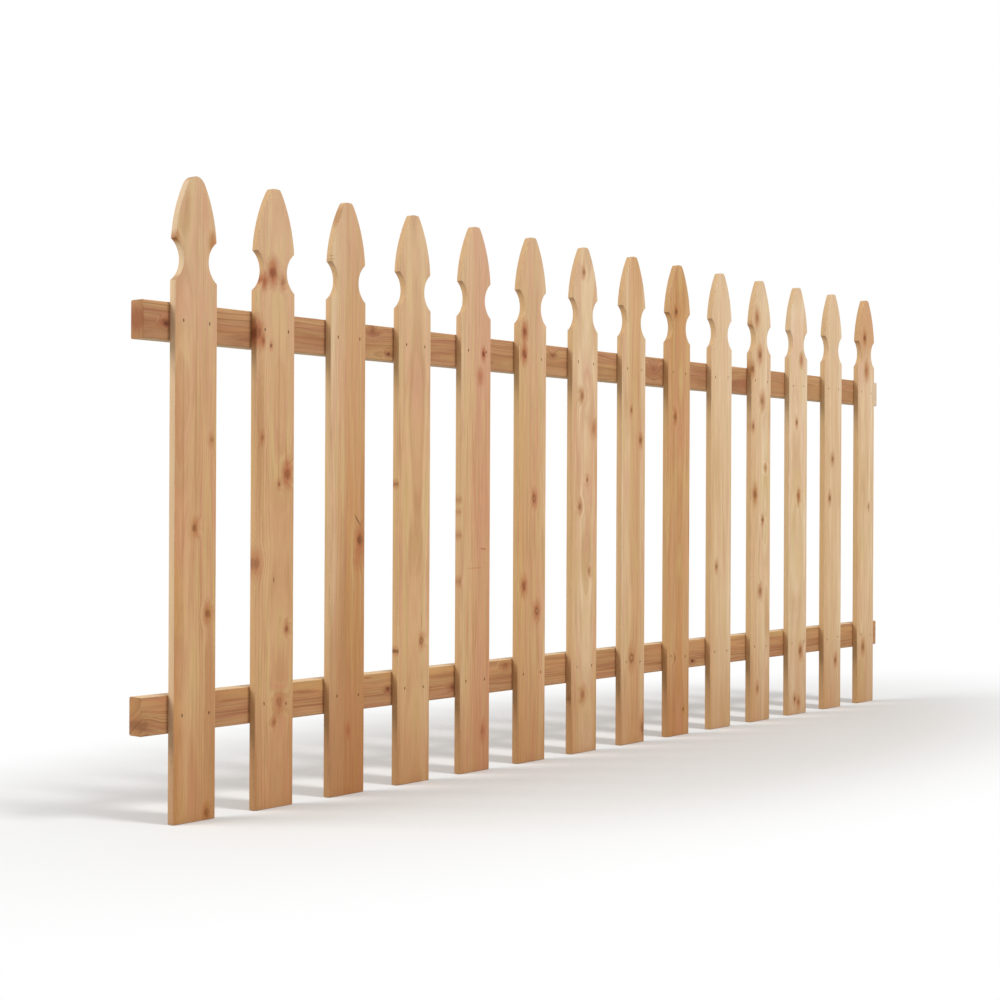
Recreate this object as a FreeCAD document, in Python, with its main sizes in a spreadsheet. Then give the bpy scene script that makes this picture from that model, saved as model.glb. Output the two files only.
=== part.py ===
import FreeCAD, Part
import os
import Sketcher
from enum import IntEnum

# Picket fence panel of sawn cedar: fourteen flat pickets with a shaped head,
# nailed to the front faces of two long rails.
# Frame: +X along the rails, +Z up, pickets face -Y. The origin lies on the back face
# of the lower rail, at mid height, in the middle of what bears on the left post.

doc = FreeCAD.newDocument("picket_fence_panel")

# Driving dimensions, in millimetres.
DIMENSIONS = (
    ("picket_count", 14, "pickets in one panel"),
    ("picket_width", 86.8, "full width of a picket's blade"),
    ("picket_thickness", 14.0, "thickness of the picket board"),
    ("picket_height", 1066.8, "foot to tip"),
    ("picket_gap", 86.8, "clear space between two pickets"),
    ("shoulder_drop", 177.8, "tip down to the shoulder under the neck"),
    ("neck_span", 68.5, "height of the round notch on each side of the neck"),
    ("neck_depth", 17.15, "how far the notch cuts in from the blade's side"),
    ("head_inset", 1.25, "how far the head's lower corner lies inside the blade's side"),
    ("head_radius", 250.0, "radius of the pointed arch on each side of the head"),
    ("tip_width", 18.0, "flat left at the very top"),
    ("rail_height", 63.5, "height of a rail's section"),
    ("rail_thickness", 31.75, "depth of a rail's section, front to back"),
    ("rail_edge_radius", 3.0, "eased long edges of a rail"),
    ("left_overhang", 54.0, "rail beyond the first picket"),
    ("right_overhang", 40.8, "rail beyond the last picket"),
    ("lower_rail_rise", 148.0, "picket foot up to the lower rail's bottom edge"),
    ("upper_rail_drop", 213.3, "picket tip down to the upper rail's top edge"),
    ("post_bearing", 44.45, "length of rail end that bears on a post"),
)

sheet = doc.addObject("Spreadsheet::Sheet", "Dims")
for row, (alias, value, meaning) in enumerate(DIMENSIONS, start=1):
    sheet.set(f"A{row}", alias)
    sheet.set(f"B{row}", str(value))
    sheet.set(f"C{row}", meaning)
    sheet.setAlias(f"B{row}", alias)
doc.recompute()


class End(IntEnum):
    """Which end of a drawn curve a constraint holds."""

    FIRST = 1
    LAST = 2


class Axis(IntEnum):
    """The two axes that every outline is drawn on."""

    LEVEL = -1
    UPRIGHT = -2


PITCH = "(Dims.picket_width + Dims.picket_gap)"
RAIL_LENGTH = (
    f"{PITCH} * (Dims.picket_count - 1) + Dims.picket_width"
    " + Dims.left_overhang + Dims.right_overhang"
)
# Distance from the rails' left end to the origin.
ORIGIN_INSET = "Dims.post_bearing / 2"
# The origin's height over the picket's foot.
ORIGIN_RISE = "(Dims.lower_rail_rise + Dims.rail_height / 2)"


def origin_plane(body, role):
    """The body's own origin plane with this role."""
    return next(item for item in body.Origin.OriginFeatures if item.Role == role)


def new_sketch(body, name, role):
    """An empty sketch flat on one of the body's origin planes."""
    sketch = body.newObject("Sketcher::SketchObject", name)
    sketch.AttachmentSupport = [(origin_plane(body, role), "")]
    sketch.MapMode = "FlatFace"
    return sketch


def add_dimension(sketch, name, expression, *constraint):
    """A named constraint whose value follows the sheet."""
    index = sketch.addConstraint(Sketcher.Constraint(*constraint))
    sketch.renameConstraint(index, name)
    sketch.setExpression(f"Constraints.{name}", expression)


def join(sketch, *ends):
    """Make each pair of curve ends one point."""
    for curve, end, other, other_end in ends:
        sketch.addConstraint(
            Sketcher.Constraint("Coincident", curve, end, other, other_end)
        )


def line(x0, z0, x1, z1):
    return Part.LineSegment(FreeCAD.Vector(x0, z0, 0), FreeCAD.Vector(x1, z1, 0))


def arc(x0, z0, xm, zm, x1, z1):
    """Arc of a circle from one point, through a second, to a third."""
    points = [FreeCAD.Vector(x, z, 0) for x, z in ((x0, z0), (xm, zm), (x1, z1))]
    return Part.Arc(*points)


def draw_picket(sketch):
    """Blade, shoulders, round necks and pointed head with a small flat tip."""
    half = sheet.picket_width / 2
    top = sheet.picket_height
    shoulder = top - sheet.shoulder_drop
    waist = shoulder + sheet.neck_span / 2
    corner = shoulder + sheet.neck_span
    neck = half - sheet.neck_depth
    head = half - sheet.head_inset
    tip = sheet.tip_width / 2
    # A point that each arch bulges through before its radius is set.
    arch_x = (3 * head + 2 * tip) / 5
    arch_z = (corner + top) / 2

    foot = sketch.addGeometry(line(-half, 0, half, 0))
    right_side = sketch.addGeometry(line(half, 0, half, shoulder))
    right_neck = sketch.addGeometry(arc(head, corner, neck, waist, half, shoulder))
    right_arch = sketch.addGeometry(arc(head, corner, arch_x, arch_z, tip, top))
    tip_line = sketch.addGeometry(line(tip, top, -tip, top))
    left_arch = sketch.addGeometry(arc(-tip, top, -arch_x, arch_z, -head, corner))
    left_neck = sketch.addGeometry(arc(-half, shoulder, -neck, waist, -head, corner))
    left_side = sketch.addGeometry(line(-half, shoulder, -half, 0))

    join(
        sketch,
        (foot, End.LAST, right_side, End.FIRST),
        (right_side, End.LAST, right_neck, End.LAST),
        (right_neck, End.FIRST, right_arch, End.FIRST),
        (right_arch, End.LAST, tip_line, End.FIRST),
        (tip_line, End.LAST, left_arch, End.FIRST),
        (left_arch, End.LAST, left_neck, End.LAST),
        (left_neck, End.FIRST, left_side, End.FIRST),
        (left_side, End.LAST, foot, End.FIRST),
    )
    # Both halves are alike about the picket's middle line.
    for pair in (
        (foot, End.FIRST, foot, End.LAST),
        (right_side, End.LAST, left_side, End.FIRST),
        (right_arch, End.FIRST, left_arch, End.LAST),
        (tip_line, End.FIRST, tip_line, End.LAST),
    ):
        sketch.addConstraint(Sketcher.Constraint("Symmetric", *pair, Axis.UPRIGHT))
    sketch.addConstraint(Sketcher.Constraint("PointOnObject", foot, End.FIRST, Axis.LEVEL))
    sketch.addConstraint(Sketcher.Constraint("Vertical", right_side))
    sketch.addConstraint(Sketcher.Constraint("Equal", right_neck, left_neck))
    sketch.addConstraint(Sketcher.Constraint("Equal", right_arch, left_arch))

    add_dimension(
        sketch, "width", "Dims.picket_width",
        "DistanceX", foot, End.FIRST, foot, End.LAST, 2 * half,
    )
    add_dimension(
        sketch, "height", "Dims.picket_height",
        "DistanceY", foot, End.LAST, tip_line, End.FIRST, top,
    )
    add_dimension(
        sketch, "shoulder", "Dims.picket_height - Dims.shoulder_drop",
        "DistanceY", foot, End.LAST, right_side, End.LAST, shoulder,
    )
    add_dimension(
        sketch, "neck_span", "Dims.neck_span",
        "DistanceY", right_side, End.LAST, right_arch, End.FIRST, sheet.neck_span,
    )
    add_dimension(
        sketch, "head_width", "Dims.picket_width - 2 * Dims.head_inset",
        "DistanceX", left_arch, End.LAST, right_arch, End.FIRST, 2 * head,
    )
    add_dimension(
        sketch, "tip_width", "Dims.tip_width",
        "DistanceX", tip_line, End.LAST, tip_line, End.FIRST, 2 * tip,
    )
    # The radius that gives a notch of this span its depth.
    neck_radius = (sheet.neck_span**2 / 4 + sheet.neck_depth**2) / (2 * sheet.neck_depth)
    add_dimension(
        sketch, "neck_radius",
        "(Dims.neck_span^2 / 4 + Dims.neck_depth^2) / (2 * Dims.neck_depth)",
        "Radius", right_neck, neck_radius,
    )
    add_dimension(
        sketch, "arch_radius", "Dims.head_radius",
        "Radius", right_arch, sheet.head_radius,
    )


def draw_rail_section(sketch):
    """Section of a rail with its four long edges eased; the back face lies on Y = 0."""
    front, back = -sheet.rail_thickness, 0.0
    high = sheet.rail_height / 2
    ease = sheet.rail_edge_radius
    cut = ease * (1 - 0.5**0.5)

    bottom = sketch.addGeometry(line(front + ease, -high, back - ease, -high))
    low_back = sketch.addGeometry(
        arc(back - ease, -high, back - cut, -high + cut, back, -high + ease)
    )
    back_side = sketch.addGeometry(line(back, -high + ease, back, high - ease))
    top_back = sketch.addGeometry(
        arc(back, high - ease, back - cut, high - cut, back - ease, high)
    )
    top = sketch.addGeometry(line(back - ease, high, front + ease, high))
    top_front = sketch.addGeometry(
        arc(front + ease, high, front + cut, high - cut, front, high - ease)
    )
    front_side = sketch.addGeometry(line(front, high - ease, front, -high + ease))
    low_front = sketch.addGeometry(
        arc(front, -high + ease, front + cut, -high + cut, front + ease, -high)
    )

    ring = (bottom, low_back, back_side, top_back, top, top_front, front_side, low_front)
    for this, following in zip(ring, ring[1:] + ring[:1]):
        sketch.addConstraint(Sketcher.Constraint("Tangent", this, End.LAST, following, End.FIRST))
    for flat in (bottom, top):
        sketch.addConstraint(Sketcher.Constraint("Horizontal", flat))
    sketch.addConstraint(Sketcher.Constraint("Vertical", front_side))
    for corner in (top_back, top_front, low_front):
        sketch.addConstraint(Sketcher.Constraint("Equal", low_back, corner))
    sketch.addConstraint(Sketcher.Constraint("PointOnObject", back_side, End.FIRST, Axis.UPRIGHT))
    sketch.addConstraint(
        Sketcher.Constraint("Symmetric", back_side, End.FIRST, back_side, End.LAST, Axis.LEVEL)
    )

    add_dimension(
        sketch, "edge_radius", "Dims.rail_edge_radius",
        "Radius", low_back, ease,
    )
    add_dimension(
        sketch, "section_height", "Dims.rail_height",
        "DistanceY", bottom, End.FIRST, top, End.LAST, 2 * high,
    )
    add_dimension(
        sketch, "section_depth", "Dims.rail_thickness",
        "DistanceX", front_side, End.LAST, back_side, End.FIRST, sheet.rail_thickness,
    )


def place(body, x, y, z):
    """Tie the body's place to the sheet."""
    body.setExpression("Placement.Base.x", x)
    body.setExpression("Placement.Base.y", y)
    body.setExpression("Placement.Base.z", z)


def make_board(label, role, draw, length):
    """One board: a drawn outline, padded by an expression's length."""
    body = doc.addObject("PartDesign::Body", label)
    body.Label = label
    sketch = new_sketch(body, f"{label}_outline", role)
    draw(sketch)
    pad = body.newObject("PartDesign::Pad", f"{label}_pad")
    pad.Profile = sketch
    pad.setExpression("Length", length)
    sketch.Visibility = False
    return body


def make_picket(number):
    """A picket stands on its own origin, which lies on its back face."""
    label = f"picket_{number:02d}"
    body = make_board(label, "XZ_Plane", draw_picket, "Dims.picket_thickness")
    middle = f"Dims.left_overhang + Dims.picket_width / 2 + {PITCH} * {number - 1}"
    place(body, f"{middle} - {ORIGIN_INSET}", "-Dims.rail_thickness", f"-{ORIGIN_RISE}")
    return body


def make_rail(label, height):
    """A rail runs from its left end, with its section's middle at this height."""
    body = make_board(label, "YZ_Plane", draw_rail_section, RAIL_LENGTH)
    place(body, f"-{ORIGIN_INSET}", "0", height)
    return body


boards = [make_rail("lower_rail", "0")]
upper_height = f"Dims.picket_height - Dims.upper_rail_drop - Dims.rail_height / 2 - {ORIGIN_RISE}"
boards.append(make_rail("upper_rail", upper_height))
for number in range(1, int(sheet.picket_count) + 1):
    boards.append(make_picket(number))

doc.recompute()

for item in doc.Objects:
    for bad in ("Invalid", "Error"):
        if bad in item.State:
            raise RuntimeError(f"{item.Label} is {bad}: {item.State}")
for board in boards:
    if board.Shape.isNull() or not board.Shape.isValid():
        raise RuntimeError(f"{board.Label} has no valid shape")

os.makedirs("parts", exist_ok=True)
for board in boards:
    board.Shape.exportStep(f"parts/{board.Label}.step")
    box = board.Shape.BoundBox
    print(
        f"{board.Label}: X {box.XMin:.2f} to {box.XMax:.2f},"
        f" Y {box.YMin:.2f} to {box.YMax:.2f}, Z {box.ZMin:.2f} to {box.ZMax:.2f},"
        f" volume {board.Shape.Volume:.0f}"
    )
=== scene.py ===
import bpy
import bmesh
import math
from mathutils import Euler, Matrix, Vector, noise


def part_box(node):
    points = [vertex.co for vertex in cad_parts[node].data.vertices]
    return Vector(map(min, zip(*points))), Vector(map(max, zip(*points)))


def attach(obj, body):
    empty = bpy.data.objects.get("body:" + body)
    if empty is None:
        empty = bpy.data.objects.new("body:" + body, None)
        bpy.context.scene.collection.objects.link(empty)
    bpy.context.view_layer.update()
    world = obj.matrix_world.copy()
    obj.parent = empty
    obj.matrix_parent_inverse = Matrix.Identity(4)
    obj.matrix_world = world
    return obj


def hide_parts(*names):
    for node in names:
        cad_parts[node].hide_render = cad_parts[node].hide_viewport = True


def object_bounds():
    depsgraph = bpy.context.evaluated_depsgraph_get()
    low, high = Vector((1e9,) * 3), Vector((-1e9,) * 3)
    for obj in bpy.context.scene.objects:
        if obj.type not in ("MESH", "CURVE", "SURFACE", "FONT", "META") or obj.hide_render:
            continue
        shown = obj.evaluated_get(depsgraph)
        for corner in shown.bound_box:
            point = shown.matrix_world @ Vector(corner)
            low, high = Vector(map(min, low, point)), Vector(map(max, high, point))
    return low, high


# Picket fence panel: two long rails and fourteen shaped pickets of bare western red cedar.
# The frame and all objects are in metres; the sizes of a board's own details are in millimetres.
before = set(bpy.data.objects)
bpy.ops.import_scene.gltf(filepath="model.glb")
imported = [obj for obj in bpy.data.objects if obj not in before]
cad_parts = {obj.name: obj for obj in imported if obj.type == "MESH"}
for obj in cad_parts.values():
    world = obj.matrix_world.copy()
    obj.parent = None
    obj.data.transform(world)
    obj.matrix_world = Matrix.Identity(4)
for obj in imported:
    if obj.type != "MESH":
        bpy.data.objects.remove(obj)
cad_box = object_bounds()


# The rails: two straight lengths of air-dry cedar heartwood, planed on four sides,
# their long edges eased by the planer's rounding knives and their ends cross-cut square.
# They are the redder, browner boards, and the pickets are nailed to their front faces.
MM = 0.001
RAIL_HEIGHT = 63.5
RAIL_EDGE = 3.0
RAIL_EDGE_STEPS = 5
RAIL_END_EDGE = 0.8
RAIL_END_ROUND = 0.3
RAIL_STEP = 40.0
RAIL_WANDER = 0.25
RAIL_SHARP = 40
# The wander of a sawn or planed edge: how long its waves are, how far apart two boards read
# the noise that makes them, and which slice of it they read.
WANDER_SPAN = 90.0
WANDER_APART = 7.3
WANDER_SLICE = 0.4


def stand(name, data):
    """A new object of this mesh, lamp or camera, in the scene."""
    piece = bpy.data.objects.new(name, data)
    bpy.context.scene.collection.objects.link(piece)
    return piece


def smooth(mesh, sharp_angle):
    """Round edges shaded round, and edges over this many degrees kept sharp."""
    for face in mesh.polygons:
        face.use_smooth = True
    mesh.set_sharp_from_angle(angle=math.radians(sharp_angle))


def wander(seed, along, amount):
    """How far a planed edge lies inside its nominal line, never outside it, in millimetres."""
    spot = Vector((seed * WANDER_APART, along / WANDER_SPAN, WANDER_SLICE))
    return amount * (0.5 + 0.5 * noise.noise(spot))


def rail_section(half_deep, half_tall):
    """The rail's outline, in millimetres about its middle, with its four rounded corners."""
    section = []
    for corner in range(4):
        side_y = 1 if corner in (0, 3) else -1
        side_z = 1 if corner in (0, 1) else -1
        for step in range(RAIL_EDGE_STEPS + 1):
            turn = (corner + step / RAIL_EDGE_STEPS) * math.pi / 2
            y = side_y * (half_deep - RAIL_EDGE) + RAIL_EDGE * math.cos(turn)
            z = side_z * (half_tall - RAIL_EDGE) + RAIL_EDGE * math.sin(turn)
            section.append((y, z))
    return section


def rail_stations(length):
    """Places along the rail, each with how far the softened end draws the outline in there."""
    rings = round(length / RAIL_STEP)
    inner = length - 2 * RAIL_END_EDGE
    part = RAIL_END_EDGE * RAIL_END_ROUND
    pulls = [(0.0, RAIL_END_EDGE), (part, part)]
    stations = pulls + [(RAIL_END_EDGE + inner * i / rings, 0.0) for i in range(rings + 1)]
    return stations + [(length - station, pull) for station, pull in reversed(pulls)]


def rail_mesh(name, low, high, seed):
    """The rounded section carried along the rail, closed by slightly softened ends."""
    mesh = bmesh.new()
    half_deep, half_tall = (high.y - low.y) / 2 / MM, (high.z - low.z) / 2 / MM
    middle_y, middle_z = (high.y + low.y) / 2, (high.z + low.z) / 2
    section = rail_section(half_deep, half_tall)
    loops = []
    for station, pull in rail_stations((high.x - low.x) / MM):
        loop = []
        for k, (y, z) in enumerate(section):
            inward = pull + wander(seed + k // (RAIL_EDGE_STEPS + 1), station, RAIL_WANDER)
            y *= 1 - inward / half_deep
            z *= 1 - inward / half_tall
            loop.append(mesh.verts.new((low.x + station * MM, middle_y + y * MM, middle_z + z * MM)))
        loops.append(loop)
    for this, following in zip(loops, loops[1:]):
        for k in range(len(section)):
            n = (k + 1) % len(section)
            mesh.faces.new((this[k], following[k], following[n], this[n]))
    mesh.faces.new(loops[0])
    mesh.faces.new(reversed(loops[-1]))
    bmesh.ops.recalc_face_normals(mesh, faces=mesh.faces)
    data = bpy.data.meshes.new(name)
    mesh.to_mesh(data)
    mesh.free()
    return data


def linear(hex_colour):
    """An sRGB hex colour as the linear colour that a shader takes."""
    channels = [int(hex_colour[i : i + 2], 16) / 255 for i in (0, 2, 4)]
    return [c / 12.92 if c <= 0.04045 else ((c + 0.055) / 1.055) ** 2.4 for c in channels] + [1.0]


def add(tree, kind, inputs=(), out=0, **settings):
    """Add a node with its settings. Each input, by place or by name, is a value, a hex colour
    or another node's output. Returns one of the new node's outputs, or the node if it has none."""
    node = tree.nodes.new(kind)
    for name, value in settings.items():
        setattr(node, name, value)
    for key, value in inputs.items() if isinstance(inputs, dict) else enumerate(inputs):
        if isinstance(value, bpy.types.NodeSocket):
            tree.links.new(value, node.inputs[key])
        else:
            node.inputs[key].default_value = linear(value) if isinstance(value, str) else value
    return node.outputs[out] if node.outputs else node


def blank(block):
    """The emptied node tree of a new material or world."""
    block.use_nodes = True
    block.node_tree.nodes.clear()
    return block.node_tree


# How far each of the wood's patterns reaches in millimetres, across and along the grain,
# and how much finer detail it carries. The fibre is drawn twice as coarse as the real
# one, which is under a millimetre wide and would not show.
WOOD_PATTERNS = {
    "sway": (80, 460, 2),
    "rag": (5, 11, 3),
    "patch": (42, 300, 2),
    "fibre": (1.5, 55, 3),
}
# Millimetres of wood, out from the heart, over which ring widths and tones change, and how
# wide and how long a resin streak is.
YEAR_SPAN, TONE_SPAN = 11, 15
STREAK_WIDE, STREAK_LONG = 4, 170
# How far apart two boards read each pattern, so that none repeats another.
BOARDS_APART = {"grain": 5000.0, "year": 50.0, "tone": 80.0, "streak": 7.0}
# How far the rings wander, in millimetres, because the trunk was never quite straight.
SWAY_REACH = 18.0
# How much a year's width varies, and its growth from one dark line through pale early wood
# to the next.
YEAR_VARIES = 3.0
GROWTH = ((0.0, "202020"), (0.5, "505050"), (0.86, "FFFFFF"), (0.99, "202020"))
# Tones run from one edge of the board to the other, blurred by the bands that follow the rings.
TONE_START, TONE_BLUR = 0.25, 0.5
TONE_FIRST, TONE_RANGE = 0.1, 0.8
# The parts of a knot, under how wide they are as a share of their length along the grain:
# where each starts to fade and where it has gone, in the knot's own radii. A knot runs deep
# into the wood.
KNOT_PARTS = {0.48: (("halo", 0.3, 2.4),), 0.76: (("core", 0.45, 1.2), ("pith", 0.15, 0.7))}
KNOT_DEPTH = 0.03
# The rings bulge round a knot, as far as this many of its radii, by this share of its size.
BULGE_REACH, BULGE_SHARE, BULGE_LARGEST = 4.0, 1.3, 6.0
# How ragged the rims of knots are, and those of marks beside them; how deep a mark goes, and
# where it starts to fade and has gone, from its middle to its rim.
RAGGED, MARK_RAGGED = 1.1, 0.4
MARK_DEPTH = 40.0
MARK_FADE = (0.3, 1.0)
# Where each layer starts and is full, in the values of its own pattern, and how strong it is
# at both: how dark the years' lines are, streaks, patches, sawn flanks (partly painted light),
# cut ends, how light the fibre is and how rough.
LAYERS = {
    "firm": (0.3, 0.7, 0.15, 0.9),
    "streak": (0.41, 0.74, 0.0, 0.58),
    "patch": (0.42, 0.72, 0.0, 0.5),
    "flank_and_painted_light": (0.6, 0.9, 0.0, 0.55),
    "end": (0.5, 0.95, 0.0, 0.55),
    "light": (0.25, 0.75, 0.9, 1.1),
    "rough": (0.2, 0.8, 0.62, 0.8),
}
# The relief that sawing leaves: the years' lines stand out less than the fibre does.
LINE_RELIEF, RELIEF_STRENGTH, RELIEF_DEPTH = 0.4, 0.5, 0.4
CEDAR_IOR, CEDAR_SPECULAR = 1.45, 0.3


def knots_and_marks(tree, board, rag, radius, wood):
    """The distance from the heart as the knots bend it, and the layers that knots and marks add."""
    layers = []

    # Rings bulge round every knot. The wood about it is redder, most of all along the grain,
    # its own end grain is dark, and some show a lighter pith in the middle.
    for knot_across, knot_along, size, *strengths in wood["knots"]:
        centre = (knot_across, 0.0, knot_along)
        spot = add(tree, "ShaderNodeVectorMath", (board, centre), operation="SUBTRACT")
        strength = dict(zip(("halo", "core", "pith"), strengths))
        for stretch, parts in KNOT_PARTS.items():
            scale = (1 / size, KNOT_DEPTH / size, stretch / size)
            near = add(tree, "ShaderNodeVectorMath", (spot, scale), operation="MULTIPLY")
            reach = add(tree, "ShaderNodeVectorMath", (near,), "Value", operation="LENGTH")
            reach = add(tree, "ShaderNodeMath", (reach, rag), operation="ADD")
            for part, fades, gone in parts:
                if strength[part]:
                    share = add(
                        tree, "ShaderNodeMapRange", (reach, fades, gone, strength[part], 0.0),
                        interpolation_type="SMOOTHSTEP",
                    )
                    layers.append((share, wood[part]))
        bulge = (reach, 0.0, BULGE_REACH, BULGE_SHARE * min(size, BULGE_LARGEST), 0.0)
        bulge = add(tree, "ShaderNodeMapRange", bulge, interpolation_type="SMOOTHSTEP")
        radius = add(tree, "ShaderNodeMath", (radius, bulge), operation="ADD")

    # Pitch streaks and short checks: dark lines, turned as the real ones are.
    for mark_across, mark_along, half_long, half_wide, tilt, strength, shade in wood["marks"]:
        centre, angle = (mark_across, 0.0, mark_along), (0.0, math.radians(tilt), 0.0)
        line = add(
            tree, "ShaderNodeMapping", (board, centre, angle, (half_wide, MARK_DEPTH, half_long)),
            vector_type="TEXTURE",
        )
        line = add(tree, "ShaderNodeVectorMath", (line,), "Value", operation="LENGTH")
        line = add(tree, "ShaderNodeMath", (rag, MARK_RAGGED, line), operation="MULTIPLY_ADD")
        share = add(
            tree, "ShaderNodeMapRange", (line, *MARK_FADE, strength, 0.0),
            interpolation_type="SMOOTHSTEP",
        )
        layers.append((share, wood[shade]))
    return radius, layers


def sawn_cedar(name, trunk, middle, lying, width, wood):
    """Western red cedar, sawn along the grain: soft, matt, with fine growth rings, paler and
    redder bands that follow them, knots that the rings bend round, and dark end grain.

    trunk tells one tree from the next; middle is the board's reference point in the frame;
    lying is true where the grain runs along X and not Z; width is the face's, in millimetres.
    """
    material = bpy.data.materials.new(name)
    tree = blank(material)

    # Millimetres across the face, into the wood and along the grain.
    place = add(tree, "ShaderNodeTexCoord", out="Object")
    turn = Euler((0.0, -math.pi / 2, 0.0)) if lying else Euler()
    start = -(turn.to_matrix() @ Vector(middle)) / MM
    board = add(tree, "ShaderNodeMapping", (place, start, turn, (1 / MM, 1 / MM, 1 / MM)))
    across = add(tree, "ShaderNodeSeparateXYZ", (board,))
    along = across.node.outputs[2]
    apart = (0, 0, BOARDS_APART["grain"] * trunk)
    grain = add(tree, "ShaderNodeVectorMath", (board, apart), operation="ADD")
    patterns = {}
    for pattern, (wide, long, detail) in WOOD_PATTERNS.items():
        scale = (1 / wide, 1 / wide, 1 / long)
        cells = add(tree, "ShaderNodeVectorMath", (grain, scale), operation="MULTIPLY")
        cells = {"Vector": cells, "Scale": 1.0, "Detail": detail}
        patterns[pattern] = add(tree, "ShaderNodeTexNoise", cells, "Fac")

    # How far each point of the board lies from the tree's heart.
    sway = patterns["sway"].node.outputs["Color"]
    sway = add(tree, "ShaderNodeVectorMath", (sway, (0.5, 0.5, 0.5)), operation="SUBTRACT")
    reach = (SWAY_REACH, SWAY_REACH, 0.0)
    sway = add(tree, "ShaderNodeVectorMath", (sway, reach), operation="MULTIPLY")
    swayed = add(tree, "ShaderNodeVectorMath", (board, sway), operation="ADD")
    heart_across, heart_deep, lean_side, lean_deep = wood["heart"]
    trunk_line = add(
        tree, "ShaderNodeMapping",
        (swayed, (-heart_across, -heart_deep, 0.0), (lean_deep, lean_side, 0.0), (1.0, 1.0, 0.0)),
    )
    radius = add(tree, "ShaderNodeVectorMath", (trunk_line,), "Value", operation="LENGTH")
    rag = (patterns["rag"], RAGGED, -RAGGED / 2)
    rag = add(tree, "ShaderNodeMath", rag, operation="MULTIPLY_ADD")
    radius, knots = knots_and_marks(tree, board, rag, radius, wood)

    # Ring widths vary from year to year, and each year ends in a thin darker line.
    year = (radius, 1 / YEAR_SPAN, BOARDS_APART["year"] * trunk)
    year = add(tree, "ShaderNodeMath", year, operation="MULTIPLY_ADD")
    year = {"W": year, "Scale": 1.0, "Detail": 3.0}
    year = add(tree, "ShaderNodeTexNoise", year, "Fac", noise_dimensions="1D")
    count = add(tree, "ShaderNodeMath", (radius, 1 / wood["rings"]), operation="MULTIPLY")
    count = add(tree, "ShaderNodeMath", (year, YEAR_VARIES, count), operation="MULTIPLY_ADD")
    phase = add(tree, "ShaderNodeMath", (count,), operation="FRACT")
    growth = add(tree, "ShaderNodeValToRGB", (phase,))
    firm = (year, *LAYERS["firm"])
    firm = add(tree, "ShaderNodeMapRange", firm, interpolation_type="SMOOTHSTEP")
    late_wood = add(tree, "ShaderNodeMath", (growth, firm), operation="MULTIPLY")

    # Broad bands: heartwood shifts between pale, gold, pink and brown from ring to ring.
    drift = (radius, 1 / TONE_SPAN, BOARDS_APART["tone"] * trunk)
    drift = add(tree, "ShaderNodeMath", drift, operation="MULTIPLY_ADD")
    drift = {"W": drift, "Scale": 1.0, "Detail": 3.0}
    drift = add(tree, "ShaderNodeTexNoise", drift, "Fac", noise_dimensions="1D")
    side = add(tree, "ShaderNodeMath", (across, 1 / width, TONE_START), operation="MULTIPLY_ADD")
    side = add(tree, "ShaderNodeMath", (drift, TONE_BLUR, side), operation="MULTIPLY_ADD")
    palette = add(tree, "ShaderNodeValToRGB", (side,))
    last = len(wood["bands"]) - 1
    bands = [(TONE_FIRST + TONE_RANGE * i / last, shade) for i, shade in enumerate(wood["bands"])]
    for ramp, stops in ((growth, GROWTH), (palette, bands)):
        elements = ramp.node.color_ramp.elements
        while len(elements) < len(stops):
            elements.new(1.0)
        for element, (position, shade) in zip(elements, stops):
            element.position = position
            element.color = linear(shade)

    # Resin streaks run with the rings; the fibre only lightens and darkens.
    run = add(tree, "ShaderNodeCombineXYZ", (radius, BOARDS_APART["streak"] * trunk, along))
    scale = (1 / STREAK_WIDE, 1.0, 1 / STREAK_LONG)
    run = add(tree, "ShaderNodeVectorMath", (run, scale), operation="MULTIPLY")
    run = add(tree, "ShaderNodeTexNoise", {"Vector": run, "Scale": 1.0, "Detail": 4.0}, "Color")
    run = add(tree, "ShaderNodeSeparateXYZ", (run,)).node
    patch = (patterns["patch"], *LAYERS["patch"])
    patch = add(tree, "ShaderNodeMapRange", patch, interpolation_type="SMOOTHSTEP")
    layers = [(patch, wood["patch"])]
    for output, shade in zip(run.outputs, ("late", "rose", "straw")):
        share = (output, *LAYERS["streak"])
        share = add(tree, "ShaderNodeMapRange", share, interpolation_type="SMOOTHSTEP")
        layers.append((share, wood[shade]))
    lines = add(tree, "ShaderNodeMath", (late_wood, wood["lines"]), operation="MULTIPLY")
    layers.append((lines, wood["late"]))

    # Tints that change along the grain: a picket is darker and browner toward its foot and paler
    # toward its top.
    for low, high, to_low, to_high, tint in wood["length_tints"]:
        along_tint = (along, low, high, to_low, to_high)
        along_tint = add(tree, "ShaderNodeMapRange", along_tint, interpolation_type="SMOOTHSTEP")
        layers.append((along_tint, tint))

    # Sawn edges show the golden side of the rings, and their flank tint is also painted light: it
    # paints a picket's sides and a rail's top and underside paler, as if lit. Cross-cut ends drink
    # in light and look dark.
    facing = add(tree, "ShaderNodeSeparateXYZ", (place.node.outputs["Normal"],)).node
    faces = []
    for part, axis in (("flank_and_painted_light", 2 if lying else 0), ("end", 0 if lying else 2)):
        face = add(tree, "ShaderNodeMath", (facing.outputs[axis],), operation="ABSOLUTE")
        face = (face, *LAYERS[part])
        face = add(tree, "ShaderNodeMapRange", face, interpolation_type="SMOOTHSTEP")
        faces.append(face)
        layers.append((face, wood[part]))
    cut_lines = add(tree, "ShaderNodeMath", (faces[1], late_wood), operation="MULTIPLY")
    colour = palette
    for share, tint in [*layers, (cut_lines, wood["core"]), *knots]:
        colour = add(tree, "ShaderNodeMix", {0: share, 6: colour, 7: tint}, 2, data_type="RGBA")
    light = add(tree, "ShaderNodeMapRange", (patterns["fibre"], *LAYERS["light"]))
    colour = add(tree, "ShaderNodeHueSaturation", {"Value": light, "Color": colour})

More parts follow.
